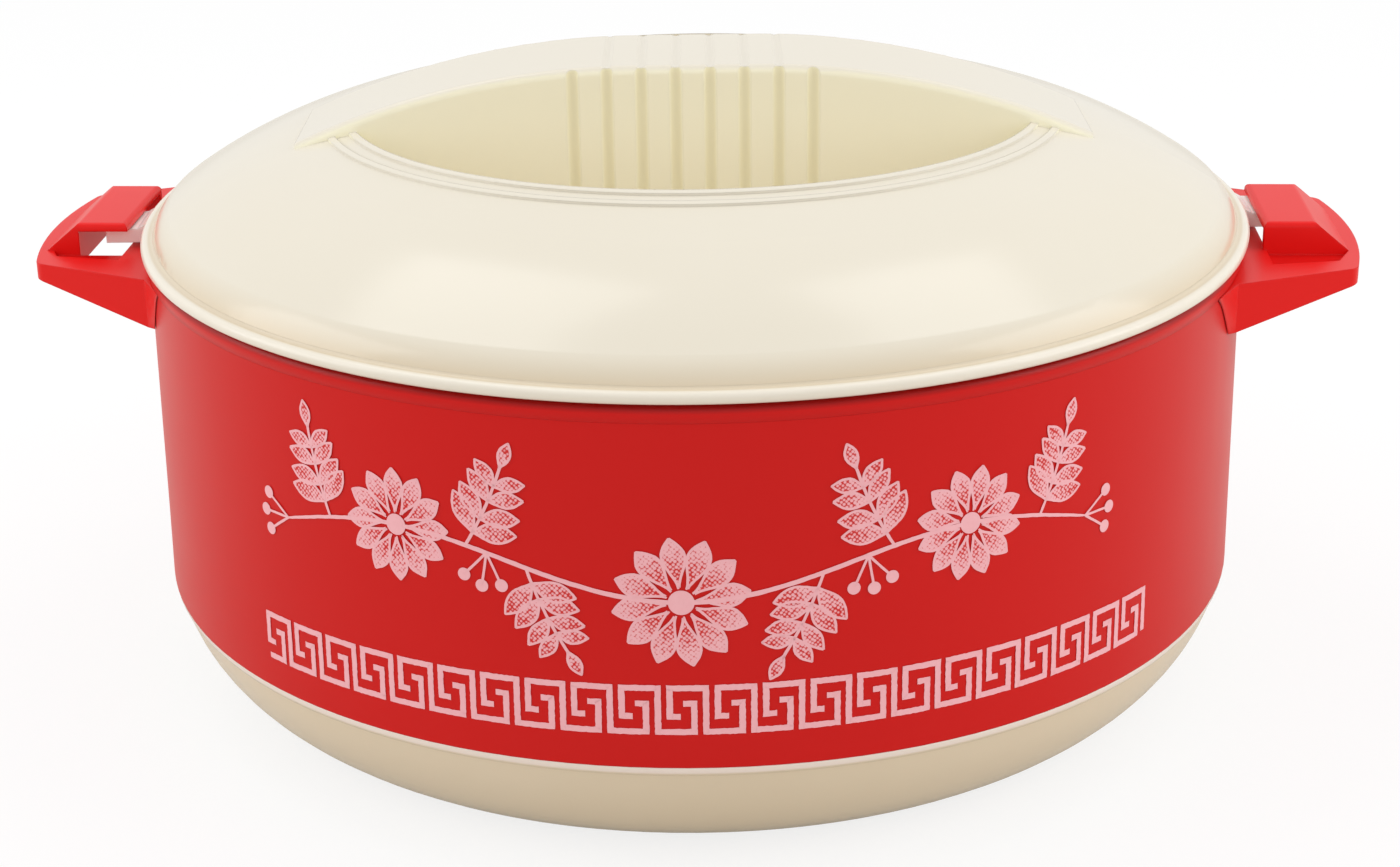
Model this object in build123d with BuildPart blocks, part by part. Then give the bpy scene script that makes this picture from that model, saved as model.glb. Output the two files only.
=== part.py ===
import os
from math import asin, degrees, sqrt

from build123d import *

# Insulated serving casserole: double-walled pot, base pan and twist-lock lid.
# Origin at the middle of the underside, +Z up, the two handles along X, front at -Y.

# Lid rim, which sets the round of the whole pot
lid_radius = 140.0
lid_overhang = 1.8  # rim beyond the top of the shell
lid_gap = 0.3  # running clearance between lid and pot

# Base pan
pan_height = 30.0  # floor to the lower edge of the red shell
pan_wall = 2.4
pan_bead = 2.6  # height of the rounded bead under the shell
pan_bead_step = 1.2  # the face below the bead stands in by this much
pan_turn_share = 0.624  # how full the turn from side to foot is, 0.707 is a quarter round
pan_spigot = 6.0  # upstand inside the shell
foot_inset = 24.5  # edge of the foot, in from the shell
foot_width = 7.0
foot_height = 2.0
plug_radius = 12.0
plug_head = 3.0  # how far the plug's head reaches past its hole
plug_head_height = 1.2

# Outer shell
shell_height = 85.2  # visible red wall
shell_draft = 0.8  # the wall stands out this much further at its foot
shell_wall = 2.4
rim_lip = 3.6  # width of the raised lip round the bowl's flange
rim_step = 1.0  # depth of the seat for the flange
rim_ledge = 9.6  # reach of the seat, in from the outside
rim_round = 2.2
rim_band_drop = 3.6  # lower edge of the raised band, below the shell's top
rim_band_step = 0.35  # the band stands out by this much

# Bowl and insulation
bowl_wall = 0.6
bowl_rim_gap = 2.0  # between the bowl's wall and the edge of the shell's ledge
bowl_taper = 7.0  # the wall leans in this much down to the floor
bowl_floor_gap = 14.0  # insulation under the bowl
bowl_corner = 26.0
bowl_flange_play = 0.3
inner_play = 0.2  # clearance round the insulation and the plugs

# Handles: depths downwards, reaches outwards from the shell, half widths along the tangent
arm_drop = 4.3  # top of the arm below the lid's lower edge
arm_length = 29.3  # shell to tip
arm_root_sink = 5.2  # the arm's straight sides start this far inside the shell
arm_root_half = 43.6
arm_tip_half = 30.5
arm_tip_bow = 3.8  # the tip's middle stands out past its corners
arm_tip_round = 3.5
arm_root_depth = 12.3
arm_tip_depth = 3.2
arm_wall = 2.4
arm_floor = 2.2
flare_spread = 14.5  # how far the flares reach past the arm's root along the shell
flare_low_spread = 1.5  # the same at the arm's underside
collar_width = 5.4  # plain strip of the arm's top along the shell
tray_depth = 1.2
tray_root_rim = 16.0  # width of the arm's side rims at the root
tray_tip_rim = 6.0  # the same at the tip
tray_tip = 3.6  # rim left across the tip
handle_seam = 0.1  # parting between the arm's root and the shell

# Hook over the lid's lug
hook_clear = 2.8  # the plate's inner edge stands off the lid's rim
hook_plate = 12.6  # plate, inner edge to bend
hook_tip = 3.6  # from the foot of the slope to the arm's tip
hook_wall = 2.0
hook_open_half = 20.0  # open side of the plate, from the handle's middle
hook_stop_half = 16.0  # side closed by the stop
hook_round = 1.4
hook_play = 0.4  # vertical clearance between lug and plate

# Lid base
flange_height = 2.8
flange_land = 3.0  # band outside the dome's foot
flange_round_share = 0.46  # rounding of the flange's edges, of its height
skirt_play = 1.5  # clearance between the skirt and the bowl
skirt_depth = 12.0
skirt_wall = 2.0
register_height = 2.0  # upstand that centres the dome
register_wall = 2.0
register_play = 0.6
lug_width = 16.0
lug_length = 10.0  # beyond the lid's rim
lug_height = 3.6
lug_rise = 0.4  # top of the lug above the lid's lower edge
lug_clear = 0.7  # between the lug's root and the shell
lug_shoulder = 2.0  # sloped root outside the flange
lid_plug_radius = 8.0

# Lid cover
cover_wall = 2.2
cover_foot = 3.0
crown_rise = 36.6  # crown of the dome above the lid's lower edge
crown_radius = 390.0
shoulder_width = 36.5  # from the end of the crown out to the dome's foot
brow_width = 4.3  # the last steep turn of the dome, in from its foot
brow_rise = 5.9

# Grip bar between two wells
grip_width = 36.8
grip_rise = 43.0  # top of the bar above the lid's lower edge
grip_level = 30.6  # length of the level stretch
grip_bend = 199.2  # radius of the bar's falling ends
grip_inset = 1.5  # the bar ends this far inside the crown
grip_end_wall = 6.0
grip_round = 2.0
well_margin = 12.8  # crown left outside the wells' arcs
well_shift = 8.9  # the wells' arcs are struck from beyond the bar
well_floor = 1.5  # floor of the wells above the lid's lower edge
groove_count = 8
groove_pitch = 8.46
groove_width = 3.2
groove_depth = 1.0
groove_cross = 0.5  # their depth over the top of the bar
bead_count = 2
bead_width = 1.8
bead_pitch = 5.0
bead_rise = 0.6

# Lid insulation
lid_foam_clear = 2.0  # between the bar's end corners and the thick outer ring
lid_foam_gap = 2.4  # between the ring's highest edge and the dome

# Angles in degrees
lid_turn = 3.3  # how far the lid stands from the handles' line

# Share of a length along each leg of its diagonal
diagonal_share = sqrt(1 / 2)

# One overrun serves all cuts
overrun = 5.0

# Heights and radii that follow
shell_top_radius = lid_radius - lid_overhang
shell_foot_radius = shell_top_radius + shell_draft
shell_top = pan_height + shell_height
lid_seat = shell_top + lid_gap
shell_inner_foot = shell_foot_radius - shell_wall
shell_inner_top = shell_top_radius - shell_wall
ledge_top = shell_top - rim_step
ledge_bottom = ledge_top - shell_wall
ledge_radius = shell_top_radius - rim_ledge
foot_radius = shell_foot_radius - foot_inset
pan_floor_top = foot_height + pan_wall
bowl_top_radius = ledge_radius - bowl_rim_gap - bowl_wall  # inside
bowl_floor_radius = bowl_top_radius - bowl_taper
bowl_floor = pan_floor_top + bowl_floor_gap + bowl_wall
bowl_rim = ledge_top + bowl_wall
arm_root_reach = shell_top_radius - arm_root_sink
arm_tip_reach = shell_top_radius + arm_length
arm_corner_reach = arm_tip_reach - arm_tip_bow
hook_reach = lid_radius + hook_clear
hook_foot_reach = arm_tip_reach - hook_tip
skirt_radius = bowl_top_radius - skirt_play
arm_top = lid_seat - arm_drop
tray_top = arm_top - tray_depth
lug_top = lid_seat + lug_rise
lug_bottom = lug_top - lug_height
plate_bottom = lug_top + hook_play
plate_top = plate_bottom + hook_wall
well_floor_top = lid_seat + well_floor
well_floor_bottom = well_floor_top - cover_wall
flange_top = lid_seat + flange_height
dome_foot = lid_radius - flange_land
crown_reach = dome_foot - shoulder_width
well_radius = crown_reach - well_margin
grip_half = grip_width / 2
grip_end = crown_reach - grip_inset
grip_hollow_end = grip_end - grip_end_wall
lid_foam_ring = sqrt(grip_end**2 + grip_half**2) + lid_foam_clear
crown_angle = degrees(asin(crown_reach / crown_radius))
crown_centre = lid_seat + crown_rise - crown_radius  # height the crown's arc is struck from

os.makedirs("parts", exist_ok=True)


# Base pan: turned side, standing foot, bead under the shell and a spigot inside it
pan_face = shell_foot_radius - pan_bead_step
bead_bottom = pan_height - pan_bead
spigot_radius = shell_inner_foot - inner_play
inner_foot = foot_radius - foot_width
turn_radius = foot_radius + (pan_face - foot_radius) * pan_turn_share
turn_height = bead_bottom * (1 - pan_turn_share)


def pan_lining(gap):
    """Inside of the pan's turned side, drawn in by a gap."""
    inset = (pan_wall + gap) * diagonal_share
    return ThreePointArc(
        (foot_radius - gap, pan_floor_top + gap),
        (turn_radius - inset, turn_height + inset),
        (spigot_radius - pan_wall - gap, bead_bottom),
    )


with BuildPart() as base_pan:
    with BuildSketch(Plane.XZ):
        with BuildLine():
            turn = ThreePointArc((pan_face, bead_bottom), (turn_radius, turn_height), (foot_radius, 0))
            lining = pan_lining(0)
            Polyline(
                turn @ 1,
                (inner_foot, 0),
                (inner_foot, foot_height),
                (plug_radius, foot_height),
                (plug_radius, pan_floor_top),
                lining @ 0,
            )
            Polyline(
                lining @ 1,
                (spigot_radius - pan_wall, pan_height + pan_spigot),
                (spigot_radius, pan_height + pan_spigot),
                (spigot_radius, pan_height),
                (shell_foot_radius, pan_height),
            )
            TangentArc((shell_foot_radius, pan_height), turn @ 0, tangent=(0, -1))
        make_face()
    revolve(axis=Axis.Z)
base_pan.part.label = "base_pan"

# Plug in the hole the insulation is filled through
with BuildPart() as base_plug:
    with BuildSketch(Plane.XY.offset(foot_height - plug_head_height)):
        Circle(plug_radius + plug_head)
    extrude(amount=plug_head_height)
    with BuildSketch(Plane.XY.offset(foot_height)):
        Circle(plug_radius - inner_play)
    extrude(amount=pan_wall)
    chamfer(base_plug.edges().group_by(Axis.Z)[0], plug_head_height / 2)
base_plug.part.label = "base_plug"

# Outer shell: drafted wall, raised band under the lid and an inward rim that carries the bowl
band_bottom = shell_top - rim_band_drop
band_radius = shell_top_radius + rim_band_step
with BuildPart() as outer_shell:
    with BuildSketch(Plane.XZ):
        with BuildLine():
            Polyline(
                (shell_foot_radius, pan_height),
                (shell_top_radius, band_bottom - rim_band_step),
                (band_radius, band_bottom),
                (band_radius, shell_top),
                (shell_top_radius - rim_lip, shell_top),
                (shell_top_radius - rim_lip, ledge_top),
                (ledge_radius, ledge_top),
                (ledge_radius, ledge_bottom),
                (shell_inner_top, ledge_bottom),
                (shell_inner_foot, pan_height),
                close=True,
            )
        make_face()
    revolve(axis=Axis.Z)
    fillet(outer_shell.edges().group_by(Axis.Z)[-1].sort_by(SortBy.RADIUS)[-1], rim_round)
outer_shell.part.label = "outer_shell"


def bowl_form(grow, top):
    """The bowl's inside grown outwards, up to a height: tapered wall and a rounded corner."""
    with BuildPart() as form:
        with BuildSketch(Plane.XZ):
            with BuildLine():
                Polyline(
                    (0, bowl_floor - grow),
                    (bowl_floor_radius + grow, bowl_floor - grow),
                    (bowl_top_radius + grow, top),
                    (0, top),
                    close=True,
                )
            make_face()
        revolve(axis=Axis.Z)
        fillet(form.edges().group_by(Axis.Z)[0], bowl_corner + grow)
    return form.part


# Steel bowl with a flange that hangs in the shell's rim
bowl_outside = bowl_form(bowl_wall, ledge_top)
bowl_inside = bowl_form(0, bowl_rim)
with BuildPart() as inner_bowl:
    add(bowl_outside)
    with BuildSketch(Plane.XY.offset(ledge_top)):
        Circle(shell_top_radius - rim_lip - bowl_flange_play)
    extrude(amount=bowl_wall)
    add(bowl_inside, mode=Mode.SUBTRACT)
inner_bowl.part.label = "inner_bowl"

# Insulation between bowl, shell and pan
foam_top = ledge_bottom - inner_play
foam_floor = pan_floor_top + inner_play
bowl_clear = bowl_form(bowl_wall + inner_play, ledge_top)
with BuildPart() as body_insulation:
    with BuildSketch(Plane.XZ):
        with BuildLine():
            wall_side = shell_inner_top - inner_play
            spigot_top = pan_height + pan_spigot + inner_play
            lining = pan_lining(inner_play)
            Polyline(
                lining @ 1,
                (spigot_radius - pan_wall - inner_play, spigot_top),
                (wall_side, spigot_top),
                (wall_side, foam_top),
                (0, foam_top),
                (0, foam_floor),
                lining @ 0,
            )
        make_face()
    revolve(axis=Axis.Z)
    add(bowl_clear, mode=Mode.SUBTRACT)
body_insulation.part.label = "body_insulation"


def both_sides(half):
    """A half outline and its mirror image, as one ring of points."""
    return half + [(reach, -width) for reach, width in reversed(half)]


def arm_outline(side, tip):
    """The arm seen from above, drawn in by a side rim and a tip rim."""
    flank = [
        (arm_corner_reach - tip, arm_tip_half - side),
        (arm_root_reach, arm_root_half - side),
        (0, arm_root_half - side),
    ]
    with BuildSketch() as outline:
        with BuildLine():
            sides = Polyline(*both_sides(flank))
            ThreePointArc(sides @ 1, (arm_tip_reach - tip, 0), sides @ 0)
        make_face()
        fillet(outline.vertices().group_by(Axis.X)[-1], arm_tip_round)
    return outline.sketch


def flare_outline(half):
    """The arm's root seen from above, spread to a half width at the shell."""
    reach = sqrt(shell_top_radius**2 - half**2)
    side = [(0, half), (reach, half), (arm_root_reach, arm_root_half)]
    with BuildSketch() as outline:
        with BuildLine():
            Polyline(*both_sides(side), close=True)
        make_face()
    return outline.sketch


# Right handle: cored wedge arm, two trays on top, lock window and the hook over it
flare_half = arm_root_half + flare_spread
arm_bottom_root = arm_top - arm_root_depth
arm_bottom_tip = arm_top - arm_tip_depth
hook_bend = hook_reach + hook_plate
collar_reach = shell_top_radius + collar_width
tray_reach = arm_corner_reach - tray_tip
tray_side = [
    (collar_reach, arm_root_half - tray_root_rim),
    (tray_reach, arm_tip_half - tray_tip_rim),
    (hook_foot_reach, hook_stop_half),
]
with BuildPart() as right_handle:
    with BuildSketch(Plane.XY.offset(arm_top)):
        add(arm_outline(0, 0))
    extrude(amount=-arm_root_depth)
    # Flares that spread the arm's sides into the shell, dying out downwards
    with BuildSketch(Plane.XY.offset(arm_top)):
        add(flare_outline(flare_half))
    with BuildSketch(Plane.XY.offset(arm_bottom_root)):
        add(flare_outline(arm_root_half + flare_low_spread))
    loft(ruled=True)
    # Core from below leaves the floor, the side walls and the tip wall
    with BuildSketch(Plane.XY.offset(tray_top - arm_floor)):
        add(arm_outline(arm_wall, arm_wall))
    extrude(amount=-arm_root_depth, mode=Mode.SUBTRACT)
    # Trays at both sides of the hook, tapering to the foot of its slope
    with BuildSketch(Plane.XY.offset(arm_top)):
        with BuildLine():
            Polyline(*both_sides(tray_side), close=True)
        make_face()
        with BuildLine():
            Polyline(
                (collar_reach, hook_open_half),
                (hook_foot_reach, hook_open_half),
                (hook_foot_reach, -hook_stop_half),
                (collar_reach, -hook_stop_half),
                close=True,
            )
        make_face(mode=Mode.SUBTRACT)
    extrude(amount=-tray_depth, mode=Mode.SUBTRACT)
    # Sloped underside
    with BuildSketch(Plane.XZ):
        with BuildLine():
            Polyline(
                (arm_root_reach, arm_bottom_root),
                (arm_tip_reach, arm_bottom_tip),
                (arm_tip_reach + overrun, arm_bottom_tip),
                (arm_tip_reach + overrun, arm_bottom_root - overrun),
                (arm_root_reach, arm_bottom_root - overrun),
                close=True,
            )
        make_face()
    extrude(amount=flare_half, both=True, mode=Mode.SUBTRACT)
    # Hook: plate, slope down to the tip and the stop at its closed side
    with BuildSketch(Plane.XZ.offset(-hook_open_half)):
        with BuildLine():
            Polyline(
                (hook_reach, plate_top),
                (hook_bend, plate_top),
                (hook_foot_reach, arm_top),
                (hook_foot_reach, tray_top),
                (hook_bend, tray_top),
                (hook_bend, plate_bottom),
                (hook_reach, plate_bottom),
                close=True,
            )
        make_face()
    extrude(amount=hook_open_half + hook_stop_half)
    with BuildSketch(Plane.XZ.offset(hook_stop_half - hook_wall)):
        with BuildLine():
            Polyline(
                (hook_reach, plate_top),
                (hook_bend, plate_top),
                (hook_foot_reach, arm_top),
                (hook_foot_reach, tray_top),
                (hook_reach, tray_top),
                close=True,
            )
        make_face()
    extrude(amount=hook_wall)
    fillet(right_handle.edges().group_by(Axis.Z)[-1], hook_round)
    # Lock window under the plate
    with BuildSketch(Plane.XY.offset(arm_top)):
        with BuildLine():
            Polyline(
                (collar_reach, hook_open_half),
                (hook_bend, hook_open_half),
                (hook_bend, hook_wall - hook_stop_half),
                (collar_reach, hook_wall - hook_stop_half),
                close=True,
            )
        make_face()
    extrude(amount=-arm_root_depth, mode=Mode.SUBTRACT)
    # Root follows the shell
    with BuildSketch(Plane.XZ):
        with BuildLine():
            Polyline(
                (0, pan_height),
                (shell_foot_radius + handle_seam, pan_height),
                (shell_top_radius + handle_seam, shell_top),
                (0, shell_top),
                close=True,
            )
        make_face()
    revolve(axis=Axis.Z, mode=Mode.SUBTRACT)
right_handle.part.label = "right_handle"

# Left handle: the same moulding turned half round, so both hooks lock the same way
with BuildPart() as left_handle:
    add(right_handle.part, rotation=(0, 0, 180))
left_handle.part.label = "left_handle"

# The lid's own planes, turned with it
lid_level = Plane.XY.rotated((0, 0, lid_turn))
lid_front = Plane(origin=(0, 0, 0), x_dir=lid_level.x_dir, z_dir=-lid_level.y_dir)

# Lid base: flange, centring upstand, skirt and plate, with two lugs under the hooks
plate_low = lid_seat - skirt_depth
plate_high = plate_low + skirt_wall
flange_round = flange_height * flange_round_share
register_radius = dome_foot - cover_foot - register_height - register_play
register_inner = register_radius - register_wall
with BuildPart() as lid_base:
    with BuildSketch(Plane.XZ):
        with BuildLine():
            Polyline(
                (lid_plug_radius, plate_low),
                (skirt_radius, plate_low),
                (skirt_radius, lid_seat),
                (lid_radius, lid_seat),
                (lid_radius, flange_top),
                (register_radius, flange_top),
                (register_radius, flange_top + register_height),
                (register_inner, flange_top + register_height),
                (register_inner, flange_top),
                (skirt_radius - skirt_wall, flange_top),
                (skirt_radius - skirt_wall, plate_high),
                (lid_plug_radius, plate_high),
                close=True,
            )
        make_face()
    revolve(axis=Axis.Z)
    rim_edges = lid_base.edges().filter_by(GeomType.CIRCLE).group_by(SortBy.RADIUS)[-1]
    fillet(rim_edges, flange_round)
    lug_root = shell_top_radius + lug_clear
    lug_reach = lid_radius + lug_length
    for side in (1, -1):
        with BuildSketch(lid_front):
            with BuildLine():
                Polyline(
                    (side * lug_root, lug_bottom),
                    (side * lug_reach, lug_bottom),
                    (side * lug_reach, lug_top),
                    (side * (lid_radius + lug_shoulder), lug_top),
                    (side * lid_radius, flange_top - flange_round),
                    (side * lug_root, flange_top - flange_round),
                    close=True,
                )
            make_face()
        extrude(amount=lug_width / 2, both=True)
lid_base.part.label = "lid_base"

# Plug in the lid's filling hole
with BuildPart() as lid_plug:
    with BuildSketch(Plane.XY.offset(plate_low - plug_head_height)):
        Circle(lid_plug_radius + plug_head)
    extrude(amount=plug_head_height)
    with BuildSketch(Plane.XY.offset(plate_low)):
        Circle(lid_plug_radius - inner_play)
    extrude(amount=skirt_wall)
    chamfer(lid_plug.edges().group_by(Axis.Z)[0], plug_head_height / 2)
lid_plug.part.label = "lid_plug"


def dome_line(rise, drop):
    """Crown, shoulder and steep brow in tangent arcs, raised and thinned by the two values."""
    crown = CenterArc((0, crown_centre + rise), crown_radius - drop, 90, -crown_angle)
    inset = drop * diagonal_share
    brow_top = (dome_foot - brow_width - inset, flange_top + brow_rise - inset + rise)
    foot = (dome_foot - drop * cover_foot / cover_wall, flange_top + rise)
    shoulder = TangentArc(crown @ 1, brow_top, tangent=crown % 1)
    brow = TangentArc(brow_top, foot, tangent=shoulder % 1)
    return crown @ 0, brow @ 1


def dome_form(rise):
    """The dome as one solid down to the floor of the wells."""
    with BuildPart() as form:
        with BuildSketch(Plane.XZ):
            with BuildLine():
                top, foot = dome_line(rise, 0)
                Polyline(foot, (dome_foot, well_floor_bottom), (0, well_floor_bottom), top)
            make_face()
        revolve(axis=Axis.Z)
    return form.part


def well_outline(grow):
    """One well seen from above: an arc closed by the straight side of the bar."""
    side = grow - grip_half
    half = sqrt((well_radius + grow) ** 2 - (well_shift - side) ** 2)
    with BuildSketch() as outline:
        with BuildLine():
            lip = ThreePointArc((-half, side), (0, well_shift - well_radius - grow), (half, side))
            Line(lip @ 1, lip @ 0)
        make_face()
    return outline.sketch


def bar_outline(sink, end, low):
    """The bar seen from the front: level in the middle, falling in an arc at both ends."""
    level = grip_level / 2
    top = lid_seat + grip_rise - sink
    bend = grip_bend - sink
    fall = bend - sqrt(bend**2 - (end - level) ** 2)
    with BuildSketch() as outline:
        with BuildLine():
            flat = Line((-level, top), (level, top))
            right = TangentArc(flat @ 1, (end, top - fall), tangent=(1, 0))
            left = TangentArc(flat @ 0, (-end, top - fall), tangent=(-1, 0))
            Polyline(right @ 1, (end, low), (-end, low), left @ 1)
        make_face()
    return outline.sketch


# Walls of the two wells, cut off at the dome
dome_solid = dome_form(0)
bead_solid = dome_form(bead_rise)
with BuildPart() as well_walls:
    with BuildSketch(lid_level.offset(well_floor_bottom)):
        add(well_outline(cover_wall))
    extrude(amount=crown_rise)
    mirror(about=lid_front)
    add(dome_solid, mode=Mode.INTERSECT)

# Beads along the lips of the wells, running into the bar
with BuildPart() as lip_beads:
    for ring in range(bead_count):
        with BuildSketch(lid_level.offset(lid_seat)):
            add(well_outline(bead_width + bead_pitch * ring))
            with Locations((0, well_shift)):
                Circle(well_radius + bead_pitch * ring, mode=Mode.SUBTRACT)
        extrude(amount=crown_rise)
    mirror(about=lid_front)
    add(bead_solid, mode=Mode.INTERSECT)

# Bar with rounded long edges
with BuildPart() as grip_bar:
    with BuildSketch(lid_front):
        add(bar_outline(0, grip_end, well_floor_bottom))
    extrude(amount=grip_half, both=True)
    bar_sides = grip_bar.faces().filter_by(lid_front)
    bar_edges = bar_sides.edges().filter_by_position(Axis.Z, flange_top, lid_seat + grip_rise)
    fillet(bar_edges.filter_by(Axis.Z, reverse=True), grip_round)

# Lid cover: dome, wells, bar and beads in one shell
groove_radius = (groove_width**2 / 4 + groove_depth**2) / (groove_depth * 2)
groove_stand_off = groove_radius - groove_depth  # the flutes are struck from outside the bar
with BuildPart() as lid_cover:
    with BuildSketch(Plane.XZ):
        with BuildLine():
            outer_top, outer_foot = dome_line(0, 0)
            inner_top, inner_edge = dome_line(0, cover_wall)
            Line(outer_top, inner_top)
            Line(outer_foot, inner_edge)
        make_face()
    revolve(axis=Axis.Z)
    add(well_walls.part)
    add(lip_beads.part)
    add(grip_bar.part)
    with BuildSketch(lid_level.offset(well_floor_top)):
        add(well_outline(0))
    front_well = extrude(amount=grip_rise, mode=Mode.PRIVATE)
    add(front_well, mode=Mode.SUBTRACT)
    mirror(front_well, about=lid_front, mode=Mode.SUBTRACT)
    with BuildSketch(lid_front):
        add(bar_outline(cover_wall, grip_hollow_end, well_floor_bottom - overrun))
    extrude(amount=grip_half - cover_wall, both=True, mode=Mode.SUBTRACT)
    # Finger flutes down both sides of the bar and across its top
    with BuildSketch(lid_level.offset(well_floor_top)):
        with GridLocations(groove_pitch, grip_width + groove_stand_off * 2, groove_count, 2):
            Circle(groove_radius)
    extrude(amount=grip_rise, mode=Mode.SUBTRACT)
    with BuildSketch(lid_front):
        with Locations((0, lid_seat + grip_rise - groove_cross + groove_radius)):
            with GridLocations(groove_pitch, 0, groove_count, 1):
                Circle(groove_radius)
    extrude(amount=grip_half, both=True, mode=Mode.SUBTRACT)
lid_cover.part.label = "lid_cover"

# Lid insulation: a disc under the wells and a thicker ring outside them
dome_over_ring = crown_centre + sqrt(crown_radius**2 - lid_foam_ring**2)
foam_ring_top = dome_over_ring - cover_wall - lid_foam_gap
foam_low = plate_high + inner_play
foam_edge = skirt_radius - skirt_wall - inner_play
with BuildPart() as lid_insulation:
    with BuildSketch(Plane.XZ):
        with BuildLine():
            Polyline(
                (0, foam_low),
                (foam_edge, foam_low),
                (foam_edge, flange_top + register_height),
                (lid_foam_ring, foam_ring_top),
                (lid_foam_ring, well_floor_bottom - inner_play),
                (0, well_floor_bottom - inner_play),
                close=True,
            )
        make_face()
    revolve(axis=Axis.Z)
lid_insulation.part.label = "lid_insulation"

pieces = [
    base_pan,
    base_plug,
    outer_shell,
    right_handle,
    left_handle,
    inner_bowl,
    body_insulation,
    lid_base,
    lid_plug,
    lid_cover,
    lid_insulation,
]
for piece in pieces:
    export_step(piece.part, f"parts/{piece.part.label}.step")
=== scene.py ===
import math

import bpy
import numpy as np
from mathutils import Matrix, Vector


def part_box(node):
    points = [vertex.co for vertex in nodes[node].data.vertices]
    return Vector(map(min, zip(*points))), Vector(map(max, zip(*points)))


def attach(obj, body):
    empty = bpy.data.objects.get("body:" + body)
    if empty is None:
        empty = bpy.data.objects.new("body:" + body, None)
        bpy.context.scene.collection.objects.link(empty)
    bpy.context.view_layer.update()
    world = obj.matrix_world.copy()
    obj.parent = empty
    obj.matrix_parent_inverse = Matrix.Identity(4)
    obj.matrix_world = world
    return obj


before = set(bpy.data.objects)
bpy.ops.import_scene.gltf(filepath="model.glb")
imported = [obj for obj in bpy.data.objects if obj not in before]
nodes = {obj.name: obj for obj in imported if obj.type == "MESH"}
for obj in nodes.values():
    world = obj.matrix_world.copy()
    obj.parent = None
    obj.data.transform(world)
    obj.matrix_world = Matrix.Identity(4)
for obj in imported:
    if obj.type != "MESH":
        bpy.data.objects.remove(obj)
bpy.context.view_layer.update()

scene = bpy.context.scene
mm = 0.001
print("frame loaded:", len(nodes), "nodes")

# The pot's wall in metres, from the frame, and the way the lid stands
shellLow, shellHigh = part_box("outer_shell")
wallDraft = 0.8 * mm  # how far the wall leans in from foot to top
shellFootRadius = shellHigh.x
shellTopRadius = shellFootRadius - wallDraft
lidTurn = math.radians(3.3)  # the lid and the camera stand turned from the handles' line


# Small helpers for colours, nodes, materials and meshes

def linearColour(code):
    # sRGB hex to linear RGBA: the straight toe below 0.04045, the 2.4 power above it
    parts = np.array([int(code[i:i + 2], 16) for i in (1, 3, 5)]) / 255
    linear = np.where(parts <= 0.04045, parts / 12.92, ((parts + 0.055) / 1.055) ** 2.4)
    return (*linear, 1.0)


def addNode(tree, kind, settings=None, links=None):
    # one node with its settings, on the node itself or on its sockets, and its incoming links
    node = tree.nodes.new(kind)
    for name, value in (settings or {}).items():
        if isinstance(name, str) and hasattr(node, name):
            setattr(node, name, value)
        else:
            node.inputs[name].default_value = value
    for name, source in (links or {}).items():
        tree.links.new(source, node.inputs[name])
    return node


def startMaterial(name):
    material = bpy.data.materials.new(name)
    material.use_nodes = True
    material.node_tree.nodes.clear()
    return material, material.node_tree


def endMaterial(tree, shader):
    addNode(tree, "ShaderNodeOutputMaterial", links={"Surface": shader.outputs[0]})


def addPiece(name, points, faces, material):
    # a mesh that holds its own place, on an object at the origin
    mesh = bpy.data.meshes.new(name)
    mesh.from_pydata(points.tolist(), [], faces.tolist())
    mesh.materials.append(material)
    piece = bpy.data.objects.new(name, mesh)
    scene.collection.objects.link(piece)
    return piece


# Injection-moulded polypropylene: a satin gloss with faint clouds where the melt flowed, the grain of a
# spark-eroded mould and edges that are never quite sharp. Real grain is about a tenth of a millimetre;
# grainMm is coarser, so that it shows. A place that light shines through, catches or hardly reaches has a
# tint of painted light or painted shade: a colour, and its share from 0 to 1.

plasticLook = {
    "cloudDetail": 3.0, "grainMm": 0.9, "grainDetail": 2.0, "grainHighMm": 0.02, "grainStrength": 0.12,
    "edgeSamples": 6, "ior": 1.49,
}
creamLook = {
    **plasticLook, "colour": "#EBE4D4", "cloudColour": "#E8E0CE", "cloudMm": 70, "roughLow": 0.15,
    "roughHigh": 0.21, "edgeMm": 0.6, "specular": 0.5,
}
redLook = {
    **plasticLook, "colour": "#D81715", "cloudColour": "#D31412", "cloudMm": 60, "roughLow": 0.28,
    "roughHigh": 0.38, "edgeMm": 0.5, "specular": 0.2,
}
foldShadeColour = "#E4D5BB"  # painted shade: the fold where the dome meets the rim is a warmer, darker cream
lidLook = {
    **creamLook,
    # painted light on the grip bar's steep walls, painted shade on the flute floors
    "walls": {"colour": "#FFFAE0", "noneUp": 0.8, "fullUp": 0.4, "alongMm": 100, "acrossMm": 21,
              "fade": 1.15, "fluteShadeColour": "#FBF5D4", "fluteCount": 8, "flutePitchMm": 8.46, "fluteMm": 3.0,
              "softMm": 0.5},
    # painted shade in the fold at the dome's foot
    "bands": [{"along": "height", "noneMm": 124.5, "fullMm": 119.0, "colour": foldShadeColour}],
}
rimLook = {
    **creamLook, "colour": "#F3ECDE", "cloudColour": "#F0E8D8",  # the lid's base is a shade paler
    # painted shade in the fold on the rim's land
    "bands": [{"along": "radius", "noneMm": 138.5, "fullMm": 137.9, "colour": foldShadeColour},
              # painted light: the thin lugs are painted near white where light shines through them
              {"along": "radius", "noneMm": 140.2, "fullMm": 141.0, "colour": "#FFFDF8"}],  # painted light
}
# painted shade: the pan's cream is a shade deeper, as it faces down away from the lamps
panLook = {
    **creamLook, "colour": "#EBDCC2", "cloudColour": "#E6D6BA",  # painted shade: a shade deeper
    "bands": [{"along": "height", "noneMm": 28.0, "fullMm": 28.6, "colour": "#FBEEE4"}],  # painted highlight
}
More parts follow.
